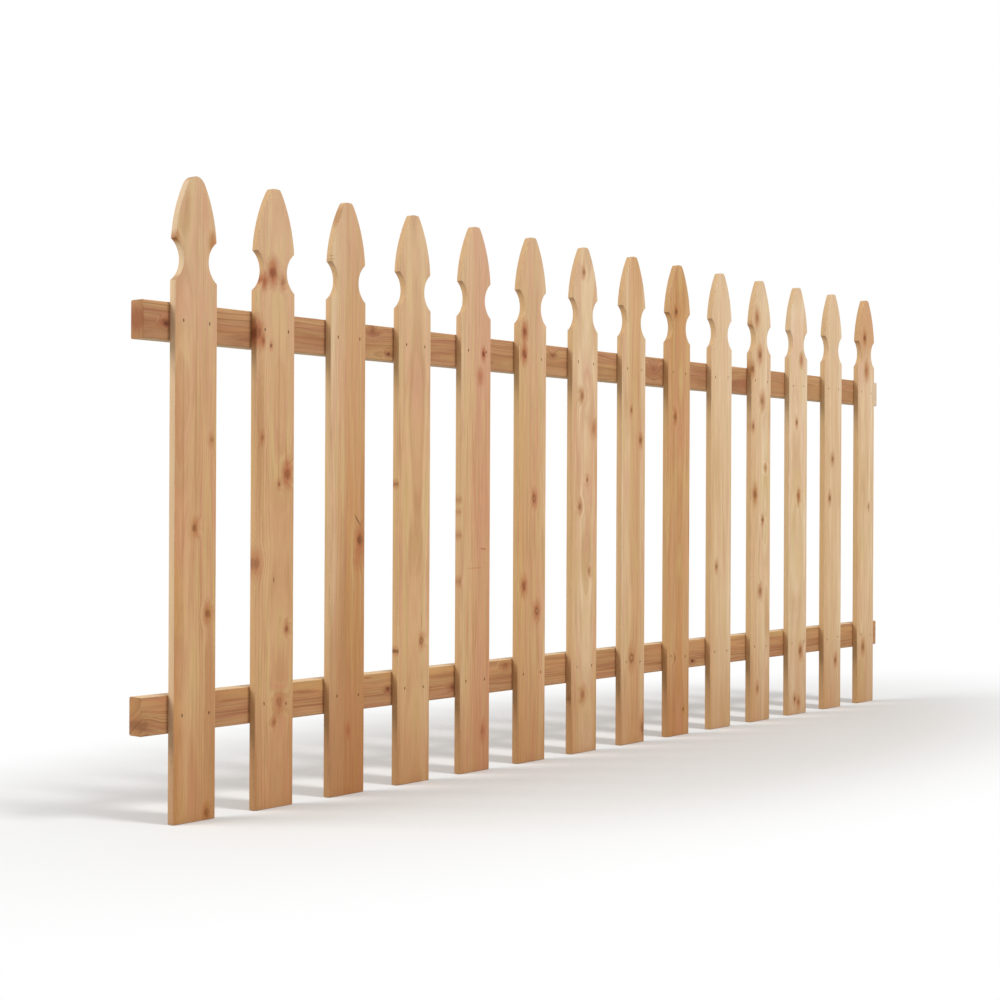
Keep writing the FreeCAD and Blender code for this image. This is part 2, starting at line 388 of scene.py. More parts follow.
    relief = (late_wood, LINE_RELIEF, patterns["fibre"])
    relief = add(tree, "ShaderNodeMath", relief, operation="MULTIPLY_ADD")
    bump = {"Strength": RELIEF_STRENGTH, "Distance": RELIEF_DEPTH * MM, "Height": relief}
    bump = add(tree, "ShaderNodeBump", bump)
    rough = add(tree, "ShaderNodeMapRange", (patterns["fibre"], *LAYERS["rough"]))
    finish = {"Base Color": colour, "Roughness": rough, "Normal": bump}
    finish |= {"IOR": CEDAR_IOR, "Specular IOR Level": CEDAR_SPECULAR}
    shader = add(tree, "ShaderNodeBsdfPrincipled", finish)
    add(tree, "ShaderNodeOutputMaterial", (shader,))
    return material


# On a rail, a knot is how far down from the middle and how far from the left end it lies, its
# radius, and how strong its reddened halo, its dark core and its pith are. A mark is where its
# middle is, half its length and width, how it is turned from the grain, its strength and its
# shade. A length tint is where along the grain it starts and ends, its strength at both, and its
# shade. Bands are tones from one edge to the other; the heart is where the tree's heart lay,
# across and deep, and how it leaned; rings are their width and lines how dark they are.
# The flank tint is partly painted light: a rail's top and underside are painted paler, as if lit.
RAIL_SHADES = {
    "patch": "9C6A48", "rose": "AA6E56", "straw": "BC9A66", "late": "875433",
    "halo": "8A482C", "core": "522816", "pith": "9A6440",
    "flank_and_painted_light": "E9D2AC", "end": "B4804E", "lines": 0.8, "rings": 2.6,
}
RAIL_WOOD = {
    "lower_rail": RAIL_SHADES | {
        "bands": ("C4945E", "BF8E5E", "B68458", "BE9066"),
        "heart": (-34, 30, 0.006, 0.004),
        "knots": (
            (14, 4, 9, 0.3, 0.3, 0.0),
            (-1, 564, 4, 0.6, 0.6, 0.0),
            (10, 742, 5, 0.5, 0.5, 0.0),
            (-20, 900, 6, 0.6, 0.1, 0.0),
            (17, 1565, 4.5, 0.6, 0.8, 0.0),
        ),
        "marks": (
            (-12, 190, 50, 4, 0, 0.5, "halo"),
            (-13, 352, 60, 6, 1, 0.6, "halo"),
            (-25, 508, 22, 3, 3, 0.6, "halo"),
            (6, 1210, 70, 4, 1, 0.4, "halo"),
        ),
        "length_tints": (),
    },
    "upper_rail": RAIL_SHADES | {
        "bands": ("BE9066", "B4865C", "AC7A50", "BA8E64"),
        "heart": (16, 46, 0.004, -0.006),
        "knots": (
            (4, 46, 4.5, 0.7, 0.7, 0.0),
            (-20, 521, 6, 0.6, 0.3, 0.0),
            (19, 562, 4, 0.7, 0.6, 0.0),
            (-11, 1048, 5, 0.5, 0.3, 0.0),
            (-3, 1405, 7, 0.3, 0.12, 0.0),
        ),
        "marks": (
            (-1, 0, 4, 30, 0, 0.6, "halo"),
            (20, 1230, 80, 5, -1, 0.35, "halo"),
            (-8, 1590, 60, 5, 1, 0.4, "halo"),
        ),
        "length_tints": (
            (2330.0, 2400.0, 0.0, 0.8, "D6C0A4"),
        ),
    },
}
# The rails' trees are counted from here, past the pickets' own.
FIRST_RAIL_TREE = 20
for trunk, (node, wood) in enumerate(RAIL_WOOD.items(), start=FIRST_RAIL_TREE):
    low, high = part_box(node)
    middle = (low.x, (low.y + high.y) / 2, (low.z + high.z) / 2)
    mesh = rail_mesh(node, low, high, trunk)
    mesh.materials.append(sawn_cedar(f"planed_cedar_{node}", trunk, middle, True, RAIL_HEIGHT, wood))
    smooth(mesh, RAIL_SHARP)
    rail = stand(f"cedar_{node}", mesh)
    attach(rail, "root")
    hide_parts(node)


# The nails: plain steel brads shot by a nail gun, two through each picket into each rail.
# Their narrow upright heads are driven just under the surface and leave a small dark slot.
# In millimetres: where the two brads of a crossing stand from the picket's middle, the slot
# that each leaves, and the head at its bottom.
BRAD_SPREAD = (-24.0, 28.0)
SLOT_SIZE = {"Width": 2.6, "Length": 6.4, "Depth": 5.0, "Sink": 0.0}
HEAD_SIZE = {"Width": 2.0, "Length": 5.6, "Depth": 1.0, "Sink": 2.4}
BRAD_SIDES = 20
# A brad lands anywhere in a square this many millimetres wide, and leans by up to so many degrees.
BRAD_WANDER = 5.0
BRAD_LEAN = 12.0
BRAD_SEED = 5
PICKET_COUNT = 14
PICKET_NODES = [f"picket_{number:02d}" for number in range(1, PICKET_COUNT + 1)]


def new_maker(name, inputs):
    """A Geometry Nodes tree that gives a piece, and what its named inputs hand to it."""
    tree = bpy.data.node_groups.new(name, "GeometryNodeTree")
    for label, kind in inputs.items():
        tree.interface.new_socket(label, in_out="INPUT", socket_type=f"NodeSocket{kind}")
    tree.interface.new_socket("Geometry", in_out="OUTPUT", socket_type="NodeSocketGeometry")
    return tree, add(tree, "NodeGroupInput").node.outputs


def hand_over(tree, piece, material):
    """End the tree in real geometry of one material."""
    piece = add(tree, "GeometryNodeRealizeInstances", {"Geometry": piece})
    piece = add(tree, "GeometryNodeSetMaterial", {"Geometry": piece, "Material": material})
    add(tree, "NodeGroupOutput", (piece,))


def brad_nodes():
    """Oval studs of one size, lying along Y on every point, each a little off its mark."""
    inputs = {"Geometry": "Geometry"} | dict.fromkeys(SLOT_SIZE, "Float")
    inputs |= {"Wander": "Float", "Lean": "Float", "Seed": "Int", "Material": "Material"}
    tree, given = new_maker("brads", inputs)
    stud = {"Vertices": BRAD_SIDES, "Radius": 0.5, "Depth": 1.0}
    stud = add(tree, "GeometryNodeMeshCylinder", stud, "Mesh")
    size = add(tree, "ShaderNodeCombineXYZ", (given["Width"], given["Length"], given["Depth"]))
    stud = add(tree, "GeometryNodeTransform", {"Geometry": stud, "Scale": size})
    lying = (math.pi / 2, 0.0, 0.0)
    stud = add(tree, "GeometryNodeTransform", {"Geometry": stud, "Rotation": lying})
    stud = add(tree, "GeometryNodeSetShadeSmooth", {"Geometry": stud, "Shade Smooth": False})

    back = add(tree, "ShaderNodeMath", (given["Wander"], -1.0), operation="MULTIPLY")
    least = add(tree, "ShaderNodeCombineXYZ", (back, 0.0, back))
    most = add(tree, "ShaderNodeCombineXYZ", (given["Wander"], 0.0, given["Wander"]))
    off = {0: least, 1: most, "Seed": given["Seed"]}
    off = add(tree, "FunctionNodeRandomValue", off, data_type="FLOAT_VECTOR")
    sunk = add(tree, "ShaderNodeCombineXYZ", (0.0, given["Sink"], 0.0))
    off = add(tree, "ShaderNodeVectorMath", (off, sunk), operation="ADD")
    marks = add(tree, "GeometryNodeSetPosition", {"Geometry": given["Geometry"], "Offset": off})

    reverse = add(tree, "ShaderNodeMath", (given["Lean"], -1.0), operation="MULTIPLY")
    lean_seed = add(tree, "ShaderNodeMath", (given["Seed"], 1.0), operation="ADD")
    lean = {2: reverse, 3: given["Lean"], "Seed": lean_seed}
    lean = add(tree, "FunctionNodeRandomValue", lean, 1, data_type="FLOAT")
    lean = add(tree, "ShaderNodeCombineXYZ", (0.0, lean, 0.0))
    brads = {"Points": marks, "Instance": stud, "Rotation": lean}
    brads = add(tree, "GeometryNodeInstanceOnPoints", brads)
    hand_over(tree, brads, given["Material"])
    return tree


def grow(piece, nodes, values):
    """Give the piece a node tree, with a value for each of the tree's named inputs."""
    modifier = piece.modifiers.new(nodes.name, "NODES")
    modifier.node_group = nodes
    for socket in nodes.interface.items_tree:
        if socket.in_out == "INPUT" and socket.name in values:
            modifier[socket.identifier] = values[socket.name]


def settle(piece, material):
    """Turn what the piece's modifiers make into a plain mesh of one material, and take them off."""
    graph = bpy.context.evaluated_depsgraph_get()
    plain = bpy.data.meshes.new_from_object(piece.evaluated_get(graph))
    plain.materials.clear()
    plain.materials.append(material)
    piece.modifiers.clear()
    piece.data = plain


def drive_brads(name, nodes, material, sizes):
    """One plain mesh of all the studs of one size."""
    marks = []
    for picket in PICKET_NODES:
        low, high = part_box(picket)
        for rail_node in RAIL_WOOD:
            rail_low, rail_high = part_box(rail_node)
            height = (rail_low.z + rail_high.z) / 2
            marks += [((low.x + high.x) / 2 + spread * MM, low.y, height) for spread in BRAD_SPREAD]
    mesh = bpy.data.meshes.new(f"{name}_marks")
    mesh.from_pydata(marks, [], [])
    piece = stand(name, mesh)
    values = {size: value * MM for size, value in sizes.items()}
    values |= {"Wander": BRAD_WANDER * MM / 2, "Lean": math.radians(BRAD_LEAN), "Seed": BRAD_SEED}
    grow(piece, nodes, values | {"Material": material})
    settle(piece, material)
    return piece


# Drawn steel wire: a dull grey metal with a film of tannin from the wet wood round it, darkened
# further as painted shade for the depth of the slot it sits in.
drawn_steel = bpy.data.materials.new("drawn_steel")
tree = blank(drawn_steel)
steel = {"Base Color": "6A5F57", "Metallic": 1.0, "Roughness": 0.5}
add(tree, "ShaderNodeOutputMaterial", (add(tree, "ShaderNodeBsdfPrincipled", steel),))
brad_maker = brad_nodes()
heads = drive_brads("brad_heads", brad_maker, drawn_steel, HEAD_SIZE)
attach(heads, "root")
slots = drive_brads("brad_slots", brad_maker, drawn_steel, SLOT_SIZE)


# The pickets: thin boards sawn square-edged, with a round neck and a pointed arched head
# shaped on the band saw. Each is its own board of cedar, so each has its own tone, knots
# and growth rings. They stand upright, nailed flat to the rails' fronts.
PICKET_SIZE = {
    "Width": 86.8, "Thickness": 14.0, "Height": 1066.8,
    "Shoulder Drop": 177.8, "Neck Span": 68.5, "Neck Depth": 17.15,
    "Head Inset": 1.25, "Head Radius": 250.0, "Tip Width": 18.0,
    "Tip Drop": 0.3, "Tip Round": 0.9, "Edge Wander": 0.35, "Foot Wander": 1.2,
}
WORN_TIPS = {"picket_01": {"Tip Drop": 4.0, "Tip Round": 3.0}}
PICKET_EDGE = 0.7
PICKET_SHARP = 25
# Edges over this many degrees are eased, in so many steps, a little fuller than a plain arc.
EASED_ANGLE, EASED_STEPS, EASED_PROFILE = 60, 2, 0.6
# Rows of faces up the stem, the neck and the head, and columns across.
SIDE_ROWS, NECK_ROWS, HEAD_ROWS, COLUMNS = 44, 20, 18, 10
# The foot's cut wanders in shorter waves, in millimetres, and reads its own slice of noise.
FOOT_SPAN, FOOT_SLICE = 30.0, 0.7


def picket_nodes():
    """A stock board, rows of points from foot to tip, drawn in to the neck's and the head's arcs."""
    inputs = dict.fromkeys(PICKET_SIZE, "Float")
    inputs |= {"Place": "Vector", "Seed": "Float", "Material": "Material"}
    tree, given = new_maker("picket", inputs)

    # The board's points: -1 to 1 across, -0.5 to 0.5 through, and by rows up from the foot.
    neck_row = SIDE_ROWS
    head_row = neck_row + NECK_ROWS
    rows = head_row + HEAD_ROWS
    counts = {"Vertices X": COLUMNS + 1, "Vertices Y": 2, "Vertices Z": rows + 1}
    stock = add(tree, "GeometryNodeMeshCube", {"Size": (2.0, 1.0, rows)} | counts, "Mesh")
    point = add(tree, "GeometryNodeInputPosition")
    point = add(tree, "ShaderNodeSeparateXYZ", (point,)).node.outputs
    row = add(tree, "ShaderNodeMath", (point[2], rows / 2), operation="ADD")

    # How far each row has come up the stem, the neck and the head.
    stem = (given["Height"], given["Shoulder Drop"])
    stem = add(tree, "ShaderNodeMath", stem, operation="SUBTRACT")
    rise = (given["Shoulder Drop"], given["Neck Span"])
    rise = add(tree, "ShaderNodeMath", rise, operation="SUBTRACT")
    stem = add(tree, "ShaderNodeMapRange", (row, 0.0, neck_row, 0.0, stem))
    neck = add(tree, "ShaderNodeMapRange", (row, neck_row, head_row, 0.0, given["Neck Span"]))
    head = add(tree, "ShaderNodeMapRange", (row, head_row, rows, 0.0, rise))
    height = add(tree, "ShaderNodeMath", (stem, neck), operation="ADD")
    height = add(tree, "ShaderNodeMath", (height, head), operation="ADD")

    # The neck: an arc as deep as Neck Depth at its middle. Its radius is the span's square over
    # eight depths, plus half the depth.
    bend = (given["Neck Span"], given["Neck Span"])
    bend = add(tree, "ShaderNodeMath", bend, operation="MULTIPLY")
    bend = add(tree, "ShaderNodeMath", (bend, given["Neck Depth"]), operation="DIVIDE")
    half_depth = add(tree, "ShaderNodeMath", (given["Neck Depth"], 0.5), operation="MULTIPLY")
    bend = add(tree, "ShaderNodeMath", (bend, 1 / 8, half_depth), operation="MULTIPLY_ADD")
    bend_square = add(tree, "ShaderNodeMath", (bend, bend), operation="MULTIPLY")
    past_middle = (given["Neck Span"], -0.5, neck)
    past_middle = add(tree, "ShaderNodeMath", past_middle, operation="MULTIPLY_ADD")
    past_middle = add(tree, "ShaderNodeMath", (past_middle, past_middle), operation="MULTIPLY")
    bite = add(tree, "ShaderNodeMath", (bend_square, past_middle), operation="SUBTRACT")
    bite = add(tree, "ShaderNodeMath", (bite,), operation="SQRT")
    bite = add(tree, "ShaderNodeMath", (bite, bend), operation="SUBTRACT")
    bite = add(tree, "ShaderNodeMath", (bite, given["Neck Depth"]), operation="ADD")
    inset = add(tree, "ShaderNodeMath", (neck, given["Neck Span"]), operation="DIVIDE")
    inset = add(tree, "ShaderNodeMath", (inset, given["Head Inset"]), operation="MULTIPLY")

    # The head: an arc of Head Radius from the neck's upper corner in to the tip. Its centre lies
    # level times the chord's length from the chord's middle.
    half = add(tree, "ShaderNodeMath", (given["Width"], 0.5), operation="MULTIPLY")
    run = add(tree, "ShaderNodeMath", (half, given["Head Inset"]), operation="SUBTRACT")
    run = add(tree, "ShaderNodeMath", (given["Tip Width"], -0.5, run), operation="MULTIPLY_ADD")
    chord_square = add(tree, "ShaderNodeMath", (run, run), operation="MULTIPLY")
    chord_square = add(tree, "ShaderNodeMath", (rise, rise, chord_square), operation="MULTIPLY_ADD")
    radius_square = (given["Head Radius"], given["Head Radius"])
    radius_square = add(tree, "ShaderNodeMath", radius_square, operation="MULTIPLY")
    level = add(tree, "ShaderNodeMath", (radius_square, chord_square), operation="DIVIDE")
    level = add(tree, "ShaderNodeMath", (level, 1 / 4), operation="SUBTRACT")
    level = add(tree, "ShaderNodeMath", (level,), operation="SQRT")
    centre_in = add(tree, "ShaderNodeMath", (run, 0.5), operation="MULTIPLY")
    centre_in = add(tree, "ShaderNodeMath", (rise, level, centre_in), operation="MULTIPLY_ADD")
    above_centre = add(tree, "ShaderNodeMath", (run, level, head), operation="MULTIPLY_ADD")
    above_centre = add(tree, "ShaderNodeMath", (rise, -0.5, above_centre), operation="MULTIPLY_ADD")
    above_centre = add(tree, "ShaderNodeMath", (above_centre, above_centre), operation="MULTIPLY")
    drawn_in = add(tree, "ShaderNodeMath", (radius_square, above_centre), operation="SUBTRACT")
    drawn_in = add(tree, "ShaderNodeMath", (drawn_in,), operation="SQRT")
    drawn_in = add(tree, "ShaderNodeMath", (centre_in, drawn_in), operation="SUBTRACT")
    for cut in (inset, bite, drawn_in):
        half = add(tree, "ShaderNodeMath", (half, cut), operation="SUBTRACT")

    # The saw wanders a little inside the line, a little more so under the foot.
    side = add(tree, "ShaderNodeMath", (point[0],), operation="SIGN")
    line = add(tree, "ShaderNodeMath", (given["Seed"], WANDER_APART, side), operation="MULTIPLY_ADD")
    line = add(tree, "ShaderNodeCombineXYZ", (line, height, WANDER_SLICE))
    scale = (1.0, 1 / (WANDER_SPAN * MM), 1.0)
    line = add(tree, "ShaderNodeVectorMath", (line, scale), operation="MULTIPLY")
    line = add(tree, "ShaderNodeTexNoise", {"Vector": line, "Scale": 1.0}, "Fac")
    line = add(tree, "ShaderNodeMath", (line, given["Edge Wander"]), operation="MULTIPLY")
    half = add(tree, "ShaderNodeMath", (half, line), operation="SUBTRACT")
    across = add(tree, "ShaderNodeMath", (point[0], half), operation="MULTIPLY")
    sole = add(tree, "ShaderNodeCombineXYZ", (across, given["Seed"], FOOT_SLICE))
    scale = (1 / (FOOT_SPAN * MM), WANDER_APART, 1.0)
    sole = add(tree, "ShaderNodeVectorMath", (sole, scale), operation="MULTIPLY")
    sole = add(tree, "ShaderNodeTexNoise", {"Vector": sole, "Scale": 1.0}, "Fac")
    sole = add(tree, "ShaderNodeMath", (sole, given["Foot Wander"]), operation="MULTIPLY")
    first_row = add(tree, "ShaderNodeMath", (row, 0.5), operation="LESS_THAN")
    height = add(tree, "ShaderNodeMath", (first_row, sole, height), operation="MULTIPLY_ADD")

    # The tip is worn to a low dome, which falls by Tip Round from its middle to its corners.
    dome = add(tree, "ShaderNodeMath", (across, given["Tip Width"]), operation="DIVIDE")
    dome = add(tree, "ShaderNodeMath", (dome, dome), operation="MULTIPLY")
    dome = add(tree, "ShaderNodeMath", (dome, 4.0), operation="MULTIPLY")
    dome = (dome, given["Tip Round"], given["Tip Drop"])
    dome = add(tree, "ShaderNodeMath", dome, operation="MULTIPLY_ADD")
    dome = add(tree, "ShaderNodeMath", (given["Height"], dome), operation="SUBTRACT")
    height = add(tree, "ShaderNodeMath", (height, dome), operation="MINIMUM")

    deep = add(tree, "ShaderNodeMath", (point[1], given["Thickness"]), operation="MULTIPLY")
    shaped = add(tree, "ShaderNodeCombineXYZ", (across, deep, height))
    shaped = add(tree, "ShaderNodeVectorMath", (shaped, given["Place"]), operation="ADD")
    board = add(tree, "GeometryNodeSetPosition", {"Geometry": stock, "Position": shaped})
    hand_over(tree, board, given["Material"])
    return tree


# Heartwood tones from near white sapwood to red-brown.
BONE, CREAM, PALE, SAND, HONEY = "E5D1B2", "E0C8A6", "DABC96", "D4B187", "CFA77A"
TAN, GOLD, PINK, AMBER, RUST = "C89D71", "CAA16A", "C99372", "C18F5C", "B28055"
# What several pickets share: darker streaks up from the foot's corners, redder knots, pale
# streaks, and how the tone changes along the board toward its foot, top and head.
FOOT_CORNER_STREAKS = ((-46, 30, 190, 16, 0, 0.6, "late"), (46, 30, 190, 14, 0, 0.5, "late"))
RED_KNOTS = {"halo": "A2562E", "core": "5C2E18"}
PALE_STREAKS = {"rose": "D1A284", "late": "B5895C", "patch": "CFA47C"}
FOOT_DARKENING = (-120.0, 330.0, 0.5, 0.0, "9E6028")
LONG_FOOT_DARKENING = (-120.0, 600.0, 0.7, 0.0, "9C6030")
TOP_PALING = (480.0, 1150.0, 0.0, 0.2, "E2CFB8")
HEAD_TAN = (880.0, 960.0, 0.0, 0.65, "BC8556")
# The flank tint is partly painted light: a picket's sides and its head's flanks are painted paler,
# as if lit.
PICKET_SHADES = {
    "patch": "C99A70", "rose": "C98E72", "straw": "C8AE74", "late": "A9774B",
    "halo": "A66630", "core": "623A1C", "pith": "B07C50",
    "flank_and_painted_light": "CFA876", "end": "9A6E48", "lines": 0.5, "marks": (), "length_tints": (FOOT_DARKENING, TOP_PALING),
}
# Each picket's wood, as on the rails, but knots and marks lie across from the middle and up
# from the foot. The pickets are in order from the end nearest the camera.
PICKET_WOOD = {
    "picket_01": {
        "bands": (AMBER, HONEY, TAN, TAN, TAN),
        "heart": (-30, 70, 0.01, 0.002),
        "rings": 2.6,
        # Painted highlight: this picket's flanks are painted paler still, as if brightly lit.
        "flank_and_painted_light": "E2CAA6",
        "knots": (
            (-44, 953, 5, 0.8, 0.41, 0.0),
            (34, 956, 6, 0.7, 0.0, 0.0),
            (-1, 484, 5.5, 0.7, 0.53, 0.0),
            (34, 630, 4, 0.5, 0.3, 0.0),
            (27, 342, 6, 0.8, 0.57, 0.0),
            (26, 12, 6, 0.8, 0.49, 0.0),
        ),
        "marks": (
            (32, 170, 230, 16, 0, 0.5, "late"),
            (0, 650, 260, 4, 0, 0.4, "late"),
            (-26, 560, 300, 3, 0, 0.4, "late"),
            (24, 270, 40, 4, 2, 0.3, "halo"),
            (-19, 1000, 55, 10, 4, 0.4, "late"),
            (20, 1005, 50, 9, -4, 0.4, "rose"),
        ),
    },
    "picket_02": RED_KNOTS | {
        "bands": (TAN, HONEY, TAN, TAN, TAN),
        "heart": (12, 62, -0.012, 0.004),
        "rings": 3.0,
        "knots": (
            (-7, 922, 8, 0.85, 0.49, 0.0),
            (-26, 905, 5, 0.8, 0.2, 0.0),
            (16, 908, 5, 0.5, 0.3, 0.0),
            (-40, 816, 9, 0.8, 0.41, 0.0),
            (-28, 803, 4, 0.7, 0.33, 0.0),
            (-10, 796, 3, 0.5, 0.66, 0.0),
            (-30, 637, 4.5, 0.6, 0.49, 0.0),
            (28, 576, 7.5, 0.8, 0.37, 0.0),
            (9, 558, 3, 0.5, 0.57, 0.0),
            (-41, 422, 8, 0.55, 0.3, 0.0),
            (28, 308, 4.5, 0.6, 0.49, 0.0),
            (12, 182, 8, 0.5, 0.25, 0.0),
            (0, 148, 4, 0.5, 0.3, 0.0),
        ),
        "marks": (
            (-2, 393, 7, 1.6, -6, 0.8, "core"),
            (-34, 640, 220, 12, 0, 0.5, "late"),
            (8, 700, 260, 3, 0, 0.4, "late"),
            (25, 610, 40, 3, 0, 0.4, "halo"),
        ),
    },
    "picket_03": RED_KNOTS | {
        "bands": (PALE, TAN, AMBER, AMBER, AMBER),
        "heart": (-120, 30, 0.004, 0.003),
        "rings": 2.4,
        "knots": (
            (32, 459, 8, 0.8, 0.7, 0.0),
            (28, 424, 7, 0.5, 0.0, 0.0),
            (3, 116, 5, 0.5, 0.1, 0.0),
        ),
        "marks": (
            (25, 495, 18, 2.0, -37, 0.85, "core"),
            (35, 490, 11, 1.6, 24, 0.6, "core"),
            (-8, 330, 260, 14, 0, 0.45, "late"),
            (38, 500, 170, 10, 0, 0.4, "late"),
            (-22, 1041, 34, 3.5, 23, 0.6, "late"),
            (-42, 961, 11, 1.2, 87, 0.7, "late"),
            (-42, 967, 10, 1.1, 87, 0.6, "late"),
        ),
        "length_tints": (LONG_FOOT_DARKENING, TOP_PALING),
    },
    "picket_04": {
        "bands": (HONEY, HONEY, HONEY, HONEY, SAND),
        "heart": (2, 75, 0.014, 0.004),
        "rings": 3.4,
        "knots": (
            (-43, 250, 2.8, 0.5, 0.66, 0.0),
            (21, 266, 6, 0.6, 0.66, 0.8),
            (-45, 561, 3, 0.6, 0.49, 0.0),
        ),
        "marks": (
            (21, 300, 26, 2, 0, 0.45, "halo"),
        ),
    },
    "picket_05": RED_KNOTS | {
        "bands": (SAND, HONEY, PINK, PINK, PINK),
        "heart": (-90, 60, -0.006, 0.003),
        "rings": 2.8,
        "knots": (
            (22, 819, 4.5, 0.85, 0.7, 0.0),
            (12, 774, 6, 0.6, 0.0, 0.0),
            (-45, 532, 3, 0.35, 0.2, 0.0),
            (-45, 509, 2.6, 0.35, 0.2, 0.0),
            (-45, 464, 3, 0.4, 0.2, 0.0),
            (-45, 374, 3.5, 0.4, 0.2, 0.0),
            (24, 78, 7, 0.5, 0.2, 0.0),
        ),
        "marks": (
            (24, 436, 12, 2.6, 95, 0.7, "halo"),
            (0, 399, 32, 1.3, 90, 0.5, "halo"),
        ),
    },
    "picket_06": RED_KNOTS | {
        "bands": (GOLD, TAN, TAN, TAN, SAND),
        "heart": (60, 70, 0.012, 0.0),
        "rings": 2.9,
        "knots": (
            (-26, 873, 7, 0.85, 0.45, 0.0),
            (-27, 829, 7, 0.85, 0.45, 0.0),
            (7, 536, 6.5, 0.7, 0.61, 0.8),
            (-25, 358, 7, 0.75, 0.41, 0.0),
            (17, 306, 7, 0.7, 0.7, 0.9),
        ),
        "marks": (
            (17, 280, 24, 2, 0, 0.4, "halo"),
        ),
    },
    "picket_07": {
        "bands": (SAND, PALE, PALE, PALE, SAND),
        "heart": (8, 55, -0.01, 0.004),
        "rings": 3.2,
        "knots": (
            (-6, 1014, 4.6, 0.5, 0.57, 0.0),
            (-10, 753, 6.3, 0.65, 0.33, 0.0),
            (31, 686, 6.9, 0.6, 0.15, 0.0),
            (9, 576, 4, 0.5, 0.49, 0.0),
            (-16, 519, 5.5, 0.6, 0.5, 0.0),
            (16, 383, 4.6, 0.55, 0.35, 0.0),
            (-4, 122, 6.3, 0.6, 0.33, 0.0),
            (-45, 116, 3.5, 0.5, 0.49, 0.0),
        ),
        "marks": (
            (-6, 1032, 26, 2.5, 0, 0.6, "late"),
        ),
    },
    "picket_08": {
        "bands": (PALE, SAND, HONEY, TAN, PALE),
        "heart": (-70, 45, 0.008, -0.004),
        "rings": 2.6,
        "knots": (
            (-8, 730, 4, 0.6, 0.57, 0.0),
            (26, 666, 5.8, 0.75, 0.57, 0.0),
            (-4, 188, 9.2, 0.5, 0.74, 1.0),
            (39, 32, 9.2, 0.7, 0.61, 0.0),
        ),
        "marks": (
            (24, 700, 44, 3, 0, 0.35, "halo"),
        ),
        "length_tints": (FOOT_DARKENING,),
    },
    "picket_09": {
        "bands": (AMBER, RUST, AMBER, AMBER, TAN),
        "heart": (4, 40, 0.016, 0.006),
        "rings": 2.7,
        "knots": (
            (-13, 960, 5.8, 0.8, 0.74, 0.0),
            (-15, 722, 5.8, 0.7, 0.61, 0.0),
            (-12, 177, 4.6, 0.4, 0.33, 0.0),
            (22, 58, 4, 0.5, 0.66, 0.0),
        ),
        "marks": (
            (-13, 985, 40, 3, 0, 0.4, "halo"),
        ),
        "length_tints": (FOOT_DARKENING,),
    },
    "picket_10": PALE_STREAKS | {
        "bands": (SAND, PALE, PALE, PALE, CREAM),
        "heart": (-110, 40, 0.006, 0.0),
        "rings": 2.5,
        "knots": (
            (-18, 379, 5.2, 0.6, 0.49, 0.0),
        ),
    },
    "picket_11": PALE_STREAKS | {
        "bands": (SAND, PALE, PALE, CREAM, PALE),
        "heart": (30, 60, -0.012, 0.004),
        "rings": 2.8,
        "knots": (
            (-20, 975, 8, 0.7, 0.3, 0.0),
            (-46, 944, 6.9, 0.7, 0.1, 0.0),
            (-6, 887, 8, 0.7, 0.49, 0.0),
            (-38, 850, 6.9, 0.7, 0.57, 0.0),
            (6, 776, 8, 0.65, 0.37, 0.0),
            (-35, 712, 5.2, 0.6, 0.57, 0.0),
            (21, 614, 4.6, 0.6, 0.3, 0.0),
            (-26, 549, 8, 0.85, 0.45, 0.0),
            (9, 487, 5.2, 0.7, 0.66, 0.0),
            (0, 315, 6.9, 0.65, 0.41, 0.0),
            (-11, 80, 5.8, 0.5, 0.41, 0.0),
        ),
        "marks": (
            (9, 460, 34, 3, 0, 0.45, "halo"),
            (-38, 820, 50, 3, 0, 0.35, "halo"),
        ),
    },
    "picket_12": PALE_STREAKS | {
        "bands": (CREAM, CREAM, PALE, CREAM, BONE),
        "heart": (-10, 66, 0.01, -0.003),
        "rings": 3.0,
        "knots": (
            (14, 886, 6.3, 0.75, 0.1, 0.0),
            (-7, 729, 5.2, 0.6, 0.61, 0.0),
            (3, 546, 6.3, 0.9, 0.3, 0.0),
            (15, 158, 7.5, 0.75, 0.49, 0.0),
            (-11, 39, 5.2, 0.6, 0.66, 0.0),
            (7, 29, 5.8, 0.7, 0.41, 0.0),
        ),
        "marks": (
            (4, 530, 20, 2.5, -3, 0.6, "halo"),
        ),
    },
    "picket_13": PALE_STREAKS | {
        "bands": (SAND, PALE, PALE, PALE, CREAM),
        "heart": (90, 50, 0.008, 0.004),
        "rings": 2.6,
        "knots": (
            (-2, 642, 6.3, 0.6, 0.49, 0.0),
            (-16, 541, 6.3, 0.6, 0.66, 0.0),
            (17, 122, 6.3, 0.7, 0.57, 0.0),
        ),
    },
    "picket_14": PALE_STREAKS | {
        "bands": (SAND, PALE, PALE, CREAM, CREAM),
        "heart": (-20, 58, -0.014, 0.002),
        "rings": 2.9,
        "knots": (
            (-9, 966, 6.9, 0.85, 0.61, 0.0),
            (1, 880, 9.2, 0.8, 0.2, 0.0),
            (15, 519, 4.6, 0.5, 0.41, 0.0),
            (-12, 148, 8, 0.7, 0.49, 0.0),
        ),
        "length_tints": (FOOT_DARKENING, TOP_PALING, HEAD_TAN),
    },
}
picket_maker = picket_nodes()
